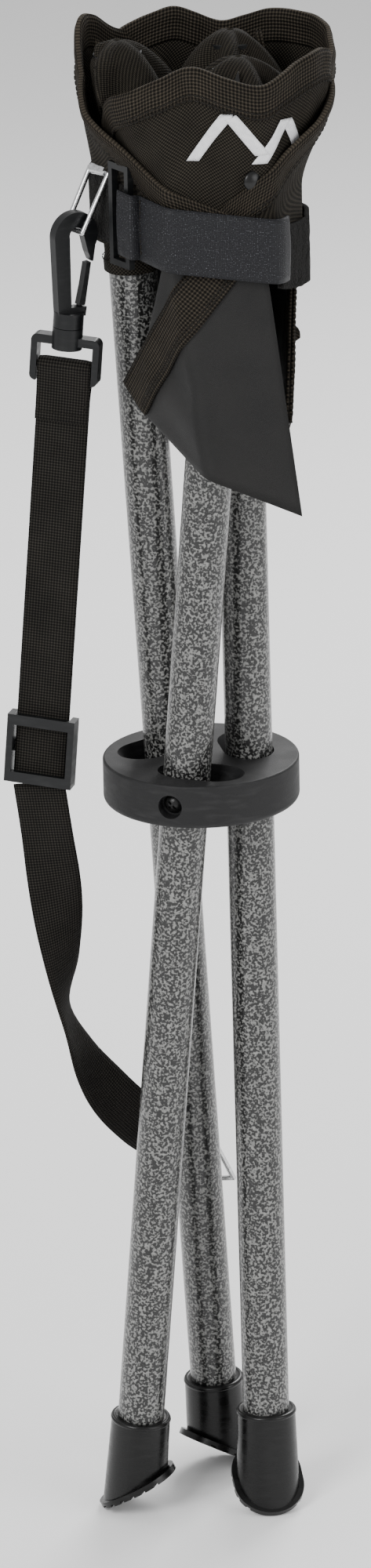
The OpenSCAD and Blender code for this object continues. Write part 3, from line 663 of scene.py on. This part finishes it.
class Flap:
    """One layer of one corner of the seat, from its fold to the middle of the seat's side."""

    def __init__(self, k, layer):
        self.name = f"{k}_{layer}"
        self.body = f"seat_{self.name}"
        self.tip_body = f"tip_{self.name}"
        unbend = f"tip_{self.name}_unbend"
        self.corner = joint_pos(f"seat_{self.name}_fold")
        axis = joint_axis(unbend)
        self.down = axis if axis[2] < 0 else -axis
        reach = joint_pos(unbend) - self.corner
        across = reach - self.down * np.dot(reach, self.down)
        self.crease = float(np.linalg.norm(across))
        self.across = across / self.crease
        self.outward = np.cross(self.across, self.down)
        self.bend = math.radians(JOINTS[unbend]["range_deg"][1])
        self.reach = float(((node_points(self.body) - self.corner) @ self.down).max())
        self.half_width = self.reach * math.sqrt(3) / 4
        self.shown = 0.985
        self.soft = 4 * MM
        self.seed = 3.7 * LEGS.index(k)

    def span(self, y):
        """Ends of the panel down the fold, at a distance y from it."""
        return math.sqrt(3) * y, self.reach - y / math.sqrt(3)

    def wave(self, x, y):
        """Soft billow of the cloth, dying away at the panel's edges."""
        first, last = self.span(y)
        margin = min(y, x - first, last - x, self.half_width - y) / (14 * MM)
        broad = smooth_noise(x / 0.045, y / 0.030, self.seed)
        fine = smooth_noise(x / 0.018, y / 0.02, self.seed + 9)
        return 1.6 * MM * (broad + 0.5 * fine) * smooth_step(margin)

    def place(self, x, y, raise_by=0.0):
        """(point, outward normal) of the panel at x down the fold and y from it."""
        radius = 2 * self.soft / self.bend
        bent = min(max((y - self.crease + self.soft) / radius, 0.0), self.bend)
        beyond = max(y - self.crease - self.soft, 0.0)
        flat = min(y, self.crease - self.soft)
        over = flat + radius * math.sin(bent) + beyond * math.cos(self.bend)
        inward = radius * (1 - math.cos(bent)) + beyond * math.sin(self.bend)
        normal = self.outward * math.cos(bent) + self.across * math.sin(bent)
        point = self.corner + self.down * x + self.across * over - self.outward * inward
        return point + normal * (self.wave(x, y) + raise_by), normal

    def row_values(self, first, last):
        """Distances from the fold, closer together over the crease."""
        low, high = self.crease - self.soft, self.crease + self.soft
        parts = [np.linspace(first, low, 14), np.linspace(low, high, 7)[1:-1], np.linspace(high, last, 17)]
        return np.concatenate(parts)

    def hem_point(self, along, across):
        """(x, y) on the hem webbing at shares of its length and width; it runs along the slanting edge,
        or across the flap where it lies over the front of the folded stool."""
        if self.name == "a_outer":
            start, end = HEM_OVER * MM
            side = unit([start[1] - end[1], end[0] - start[0]])
            return start + (end - start) * along + side * HEM_W * (across - 0.5)
        y = along * self.half_width * self.shown
        first, last = self.span(y)
        inner = min(first + HEM_W / math.sin(HALF_CORNER), last)
        return np.array([first + (inner - first) * across, y])


def blend_over_crease(obj, flap):
    """Bakes a piece's placement into its mesh."""
    low = flap.place(0.1, flap.crease - flap.soft)[0]
    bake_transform(obj)


def add_seat_panel(k, layer):
    flap = Flap(k, layer)
    last = flap.half_width * flap.shown
    covered = 0.0 if flap.name == "a_outer" else 0.86 * HEM_W / math.sin(HALF_CORNER)
    grid, uv = [], []
    for y in flap.row_values(0.0, last):
        first, end = flap.span(y)
        cloth_x = np.linspace(min(first + covered, end - 0.5 * MM), end, 30)
        grid.append([flap.place(x, y)[0] for x in cloth_x])
        uv.append([(x, y) for x in cloth_x])
    panel = slab(f"seat_cloth_{flap.name}", np.array(grid), FABRIC_T, "coated_fabric", np.array(uv))
    over = 1.3 * MM if flap.name == "a_outer" else 0.0
    hem_xy = np.array([[flap.hem_point(along, across) for across in np.linspace(0, 1, 8)]
                       for along in np.linspace(0, 1, 48)])
    hem_grid = np.array([[flap.place(x, y, over)[0] for x, y in row] for row in hem_xy])
    hem_t = np.full(8, 1.7 * MM)
    hem_t[[0, -1]] = 1.0 * MM
    hem = slab(f"seat_hem_{flap.name}", hem_grid, hem_t, "hem_webbing", grid_uv(hem_grid))
    sewing = []
    for n, share in enumerate((0.12, 0.2, 0.92)):
        points = [flap.hem_point(along, share) for along in np.linspace(0.04, 1, 60)]
        placed = [flap.place(x, y, over + 0.75 * MM) for x, y in points]
        line = [point for point, normal in placed]
        normals = np.array([normal for point, normal in placed])
        name = f"seat_seam_{flap.name}_{n}"
        sewing.append(stitches(name, line, normals, 2.8 * MM, 2.5 * MM, 0.55 * MM, 0.0))
    for obj in (panel, hem, *sewing):
        blend_over_crease(obj, flap)
    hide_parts(f"seat_{flap.name}", f"tip_{flap.name}")
    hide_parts(f"hem_{flap.name}", f"tip_hem_{flap.name}")


# ---- Pockets and the gathered cloth round the leg tops ----

def add_pocket(k):
    """Sleeve sewn round the leg's top, creased, with a turned hem at its mouth and a crowned end."""
    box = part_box(f"leg_{k}_pocket")
    up = leg_direction(k)[1]
    side = unit(np.cross(up, [0, 1, 0]))
    other = np.cross(up, side)
    top = leg_point(k, box[1].z - 1 * MM)
    columns, rows = 40, 44
    rings = []
    for i in range(rows):
        f = i / (rows - 1)
        ring = []
        for j in range(columns):
            a = math.tau * j / columns
            crease = 0.5 * MM * smooth_noise(2.2 * math.cos(a), 2.2 * math.sin(a) + 9 * f, 1.3)
            radius = POCKET_R + crease
            if f < 0.05:
                radius += 0.7 * MM
            if f > 0.93:
                radius *= math.sqrt(max(0.02, 1 - ((f - 0.93) / 0.07) ** 2 * 0.98))
            centre = top - up * POCKET_LENGTH * (1 - f)
            ring.append(centre + radius * around(a, side, other))
        rings.append(ring)
    sleeve = tube_shell(f"pocket_sleeve_{k}", rings, "polyester")
    dress(sleeve, f"leg_{k}", "polyester", f"leg_{k}_pocket")
    seam_normals = np.array([around(a, side, other) for a in np.linspace(0, math.tau, 40)])
    seam_path = top - up * (POCKET_LENGTH - 6 * MM) + (POCKET_R + 0.9 * MM) * seam_normals
    seam = stitches(f"pocket_seam_{k}", seam_path, seam_normals, 2.8 * MM, 2.4 * MM, 0.4 * MM, 0.0)
    dress(seam, f"leg_{k}", "polyester")


def bundle_frame():
    """Middle and half sizes of the folded bundle, from the closure strap round it."""
    points = node_points("closure_hook_tape", "closure_loop_tape")
    low, high = points.min(axis=0), points.max(axis=0)
    return (low + high) / 2, (high - low) / 2


def tape_radius():
    """Function giving the closure strap's distance from the hub axis at an angle, from its CAD solids."""
    points = node_points("closure_hook_tape", "closure_loop_tape")[:, :2]
    angles = np.radians(np.arange(0, 360, 3))
    reach = []
    for a in angles:
        normals = np.radians(np.arange(-60, 61, 2)) + a
        supports = [(points @ [math.cos(n), math.sin(n)]).max() / math.cos(n - a) for n in normals]
        reach.append(min(supports))
    return lambda a: float(np.interp(a % math.tau, np.append(angles, math.tau), reach + reach[:1]))


BUNDLE_MID, BUNDLE_HALF = bundle_frame()
TAPE_RADIUS = tape_radius()
RIM_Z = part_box("leg_a_pocket")[1].z


def rim_radius(a):
    """Distance from the hub axis of the flared cloth at the rim, a rounded oblong."""
    half_x, half_y, power = BUNDLE_HALF[0] + 5 * MM, BUNDLE_HALF[1] + 1 * MM, 2.6
    middle = np.array([BUNDLE_MID[0] + 5 * MM, BUNDLE_MID[1] - 1 * MM])
    low, high = 0.0, 0.2
    for _ in range(24):
        r = (low + high) / 2
        x, y = r * math.cos(a) - middle[0], r * math.sin(a) - middle[1]
        inside = (abs(x) / half_x) ** power + (abs(y) / half_y) ** power < 1
        low, high = (r, high) if inside else (low, r)
    return low


def flare(z):
    """Share of the way from the closure strap's grip to the flared rim."""
    start = BUNDLE_MID[2] + 17 * MM
    return smooth_step((z - start) / (RIM_Z - 14 * MM - start))


def bundle_radius(a, z):
    """Distance from the hub axis of the cloth round the bundle, just inside the closure strap below."""
    return (1 - flare(z)) * (TAPE_RADIUS(a) - 3.4 * MM) + flare(z) * rim_radius(a)


def bundle_point(degrees, z, inset):
    """Point on the gathered cloth at an angle seen from above, a height, and a depth inside it."""
    a = math.radians(degrees)
    r = bundle_radius(a, z) - inset
    return np.array([r * math.cos(a), r * math.sin(a), z])


# Upper edge of each leg's gathered cloth: angle seen from above, degrees, and drop below the rim, mm
GATHERS = {
    "a": {"edge": [(-152, 30), (-138, 16), (-120, 9), (-104, 2), (-88, -3), (-72, 2), (-58, 6), (-45, 1),
                   (-30, -4), (-18, -3), (-6, 4), (6, 12)], "inset": 1.9, "lean": 0.9, "ruffle": 1.9},
    "b": {"edge": [(-78, 66), (-62, 52), (-45, 38), (-28, 26), (-12, 14), (3, 6), (20, -3), (36, -6),
                   (50, -6), (62, -2), (74, 1), (86, -4), (98, -7), (112, -3), (130, 4)], "inset": 1.0,
          "lean": -2.5, "ruffle": 1.5},
    "c": {"edge": [(-254, 6), (-240, 3), (-228, -1), (-214, -9), (-202, -9), (-192, 0), (-180, 9), (-164, 17),
                   (-148, 26), (-132, 36), (-116, 47), (-98, 55), (-82, 61), (-66, 67)], "inset": 0,
          "lean": -2.8, "ruffle": 1.3},
}


class Gather:
    """Cloth of one seat corner, gathered round the bundle on that corner's leg."""

    def __init__(self, k):
        facts = GATHERS[k]
        self.k = k
        self.inset = facts["inset"] * MM
        self.lean = facts["lean"] * MM
        self.ruffle = facts["ruffle"] * MM
        self.edge = np.array(facts["edge"], float)
        self.low = BUNDLE_MID[2] - 12 * MM
        fine = smooth_path([(a, drop, 0) for a, drop in self.edge], 6)
        self.angles, self.drops = fine[:, 0], fine[:, 1] * MM

    def top(self, degrees):
        return RIM_Z - float(np.interp(degrees, self.angles, self.drops))

    def place(self, degrees, share, out=0.0):
        """Point at a share of the height from the closure strap up to the rim."""
        top = self.top(degrees)
        z = self.low + (top - self.low) * share
        fold = math.sin(math.radians(degrees * 7.0) + LEGS.index(self.k) * 2.0)
        fold += 0.6 * smooth_noise(degrees / 9.0, z / 0.02, 5.1)
        height = flare(z)
        inset = self.inset + self.lean * math.sqrt(height) + self.ruffle * fold * height
        return bundle_point(degrees, z, inset - out)

    def grid(self, shares, columns, out=0.0):
        angles = np.linspace(self.angles[0], self.angles[-1], columns)
        return np.array([[self.place(a, s, out) for a in angles] for s in shares])


def gather_squash(obj, body):
    """Attaches the cloth to its leg's body and gives it its own copy of its mesh."""
    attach(obj, body)
    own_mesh(obj)


def gather_axis(k):
    """Level direction in which a leg's gathered cloth reaches farthest from the leg."""
    gather = Gather(k)
    points = gather.grid([0.5], 30)[0] - leg_point(k, RIM_Z - 30 * MM)
    points[:, 2] = 0
    return unit(points[np.argmax(np.linalg.norm(points, axis=1))])


def add_gather(k):
    gather = Gather(k)
    columns = 150
    body = f"leg_{k}"
    cloth_grid = gather.grid(np.linspace(0, 0.985, 34)[::-1], columns)
    cloth = slab(f"gathered_cloth_{k}", cloth_grid, 1.3 * MM, "polyester")
    angles = np.linspace(gather.angles[0], gather.angles[-1], columns)
    band = 16 * MM
    rim_grid = []
    for f in np.linspace(0, 1, 9):
        row = []
        for a in angles:
            tall = gather.top(a) - gather.low
            row.append(gather.place(a, 1.0 - band * f / tall))
        rim_grid.append(row)
    thick = np.array([2.0, 3.4, 3.9, 3.4, 3.0, 3.0, 3.3, 3.2, 1.6]) * MM
    rim = slab(f"rim_webbing_{k}", np.array(rim_grid), thick[:, None], "hem_webbing")
    sewing = []
    for n, down in enumerate((12.6 * MM, 15.0 * MM)):
        shares = [1.0 - down / (gather.top(a) - gather.low) for a in angles]
        line = np.array([gather.place(a, share, 1.9 * MM) for a, share in zip(angles, shares)])
        inner = np.array([gather.place(a, share) for a, share in zip(angles, shares)])
        name = f"rim_seam_{k}_{n}"
        sewing.append(stitches(name, line, line - inner, 3.0 * MM, 2.7 * MM, 0.55 * MM, -0.2 * MM))
    for obj in (cloth, rim, *sewing):
        gather_squash(obj, body)


def add_crown(k):
    """Loose cloth in deep folds over the leg's top, tucked inside the gathered cloth."""
    reach, fall, folds, rows, columns = 25 * MM, 30 * MM, 5, 12, 72
    middle = leg_point(k, RIM_Z + 2.5 * MM)
    phase = 1.9 * LEGS.index(k)
    grid = []
    for f in np.linspace(0.06, 1, rows):
        row = []
        for a in np.linspace(0, math.tau, columns):
            wave = math.cos(folds * a + phase) + 0.4 * math.cos((folds + 2) * a - phase)
            r = reach * f * (1 + 0.2 * wave * f)
            z = middle[2] - fall * f ** 2.2 + 5 * MM * wave * f ** 2
            x, y = middle[0] + r * math.cos(a), middle[1] + r * math.sin(a)
            limit = bundle_radius(math.atan2(y, x), z) - 5 * MM
            share = min(1.0, limit / math.hypot(x, y))
            row.append([x * share, y * share, z])
        grid.append(row)
    crown = slab(f"crown_cloth_{k}", np.array(grid), 1.2 * MM, "polyester")
    dress(crown, f"leg_{k}", "polyester")


def add_mark():
    """Two plain peaks printed in white on the front cloth."""
    gather = Gather("a")
    strokes = [
        [(-23, -11), (-9, 11), (4, -9)],
        [(3, -13), (14, 6), (25, -12)],
    ]
    width = 5.5 * MM
    centre_angle, centre_z, radius = -62, RIM_Z - 29 * MM, 50 * MM
    for n, stroke in enumerate(strokes):
        ends = np.array(stroke, float)
        path = np.array([a + (b - a) * t for a, b in zip(ends, ends[1:])
                         for t in np.linspace(0, 1, 12)[:-1]] + [ends[-1]])
        rows = []
        for x, z in path * MM:
            row = []
            for w in np.linspace(-0.5, 0.5, 5):
                across = x + w * width
                degrees = centre_angle + math.degrees(across / radius)
                height = centre_z + z
                share = (height - gather.low) / (gather.top(degrees) - gather.low)
                row.append(gather.place(degrees, share, 1.3 * MM))
            rows.append(row)
        mark = slab(f"printed_peak_{n}", np.array(rows), 0.3 * MM, "print")
        gather_squash(mark, "leg_a")


def add_front_rivet():
    """Domed head of the front leg's pocket rivet, showing through the gathered cloth."""
    gather = Gather("a")
    degrees, z = -60.5, RIM_Z - 50 * MM
    share = (z - gather.low) / (gather.top(degrees) - gather.low)
    base = gather.place(degrees, share)
    out = unit(gather.place(degrees, share, 1 * MM) - base)
    side = unit(np.cross([0, 0, 1], out))
    up = np.cross(out, side)
    profile = [(2.4, -6.0), (2.4, 0.4), (4.7, 0.5), (4.9, 0.9), (4.5, 1.5), (3.3, 2.3), (1.9, 2.8),
               (0.6, 3.0)]
    rings = [[base + out * height * MM + radius * MM * around(a, side, up) for a in angles_round(32)]
             for radius, height in profile]
    rivet = tube_shell("front_rivet", rings, "black_steel")
    dress(rivet, "leg_a", "black_steel", "leg_a_rivet")


# ---- Closure strap ----

def tape_grid(angles, z_mid, width, lift):
    """Grid over a tape round the bundle, lifted off the strap's CAD surface by an amount at each angle."""
    rows = []
    for f in np.linspace(0.5, -0.5, 11):
        row = []
        for a, out in zip(angles, lift):
            r = TAPE_RADIUS(a) + out
            x, y = r * math.cos(a), r * math.sin(a)
            slope = -0.13 * (x - BUNDLE_MID[0])
            row.append([x, y, z_mid + slope + f * width])
        rows.append(row)
    return np.array(rows)


def angle_range(name):
    points = node_points(name)
    angles = np.unwrap(np.sort(np.arctan2(points[:, 1], points[:, 0]) % math.tau))
    gaps = np.diff(np.append(angles, angles[0] + math.tau))
    widest = int(np.argmax(gaps))
    first = angles[(widest + 1) % len(angles)]
    last = angles[widest]
    return first, last if last > first else last + math.tau


def add_closure_strap():
    """Hook tape folded round the ring's bar and pressed on the loop tape, which goes round the back."""
    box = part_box("closure_hook_tape")
    z_mid = (box[0].z + box[1].z) / 2
    width = box[1].z - box[0].z
    first, last = angle_range("closure_hook_tape")
    bar_end = first + 0.2
    angles = np.concatenate([np.linspace(first, bar_end + 0.1, 30),
                             np.linspace(bar_end + 0.12, last - 0.06, 60)])
    lift = [0.6 * MM + 4.6 * MM * (1 - smooth_step((a - bar_end) / 0.06)) for a in angles]
    grid = tape_grid(angles, z_mid, width, lift)
    edge = np.array([1.0, 1.7, 1.7, 2.2, 2.4, 2.4, 2.4, 2.2, 1.7, 1.7, 1.0]) * MM
    hook = slab("closure_hook_webbing", grid, edge[:, None], "hook_tape")
    dress(hook, "closure_strap", "hook_tape", "closure_hook_tape")
    seam_line = tape_grid([bar_end + 0.09], z_mid, width * 0.92, [1.7 * MM])[:, 0]
    outward = np.array([unit([p[0], p[1], 0]) for p in seam_line])
    seam = stitches("closure_seam", seam_line, outward, 2.6 * MM, 2.3 * MM, 0.5 * MM, 0.0)
    dress(seam, "closure_strap", "hook_tape")
    first, last = angle_range("closure_loop_tape")
    angles = np.linspace(first - 0.16, last, 150)
    grid = tape_grid(angles, z_mid, width, [-1.6 * MM] * len(angles))
    for i in range(grid.shape[0]):
        for j in range(grid.shape[1]):
            push = 0.5 * MM * smooth_noise(j / 2.0, i / 2.0, 8.8)
            grid[i, j, :2] *= 1 + push / np.linalg.norm(grid[i, j, :2])
    grid[..., 2] -= 7 * MM * np.vectorize(smooth_step)((grid[..., 0] - 30 * MM) / (20 * MM))
    loop = slab("closure_loop_webbing", grid, 2.2 * MM, "loop_tape")
    dress(loop, "leg_c", "loop_tape", "closure_loop_tape")
    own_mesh(loop)


# ---- Hard parts: extra detail, and finishes for the CAD's own shapes ----

def add_foot_rims():
    """Rolled lip round the mouth of each foot cap."""
    for k in LEGS:
        pivot, up = leg_direction(k)
        foot_top = node_points(f"leg_{k}_foot")
        height = ((foot_top - pivot) @ up).max()
        side = unit(np.cross(up, [0, 1, 0]))
        other = np.cross(up, side)
        rings = []
        for b in np.linspace(-math.pi / 2, math.pi * 1.5, 13)[:-1]:
            radius = TUBE_R + 1.9 * MM + 1.55 * MM * math.cos(b)
            centre = pivot + up * (height - 1.2 * MM + 1.4 * MM * math.sin(b))
            rings.append([centre + radius * around(a, side, other) for a in angles_round(48)])
        lip = tube_shell(f"foot_lip_{k}", rings + rings[:1], "foot_rubber", False, False)
        weld(lip)
        dress(lip, f"leg_{k}", "foot_rubber")


def weld(obj):
    """Joins the points that lie on each other, such as where a ring closes."""
    work = bmesh.new()
    work.from_mesh(obj.data)
    bmesh.ops.remove_doubles(work, verts=work.verts, dist=1e-6)
    work.to_mesh(obj.data)
    work.free()


def soften_edges(obj, width):
    modifier = obj.modifiers.new("soft_edges", "BEVEL")
    modifier.width = width
    modifier.segments = 2
    modifier.limit_method = "ANGLE"
    modifier.angle_limit = math.radians(50)


def finish_cad_nodes():
    finishes = {"hub_disc": "hub_plastic"}
    for k in LEGS:
        finishes[f"leg_{k}_tube"] = "hammertone"
        finishes[f"leg_{k}_plug"] = "black_plastic"
        finishes[f"leg_{k}_foot"] = "foot_rubber"
        if k != "a":
            finishes[f"leg_{k}_rivet"] = "black_steel"
        finishes[f"pivot_screw_{k}"] = "black_steel"
    for name in ("closure_ring", "snap_hook_body", "snap_hook_gate", "swivel_loop", "strap_slider"):
        finishes[name] = "black_plastic"
    for place in ("upper", "lower"):
        finishes[f"bail_clip_{place}"] = "bright_steel"
        finishes[f"wire_bail_{place}"] = "bright_steel"
        finishes[f"bail_rivet_{place}"] = "black_steel"
    for name, material in finishes.items():
        node = frame["nodes"][name]
        node.data.materials.clear()
        node.data.materials.append(MATERIALS[material])
    for name in ("closure_ring", "snap_hook_body", "swivel_loop", "strap_slider"):
        soften_edges(frame["nodes"][name], 0.7 * MM)


add_camera()
MATERIALS = make_materials()
strap_low_point = add_upper_strap()
add_lower_strap(strap_low_point)
add_studio()
finish_cad_nodes()
add_foot_rims()
GATHER_AXES = {k: gather_axis(k) for k in LEGS}
for k in LEGS:
    add_pocket(k)
    add_gather(k)
    add_crown(k)
    for layer in LAYERS:
        add_seat_panel(k, layer)
add_mark()
add_front_rivet()
add_closure_strap()
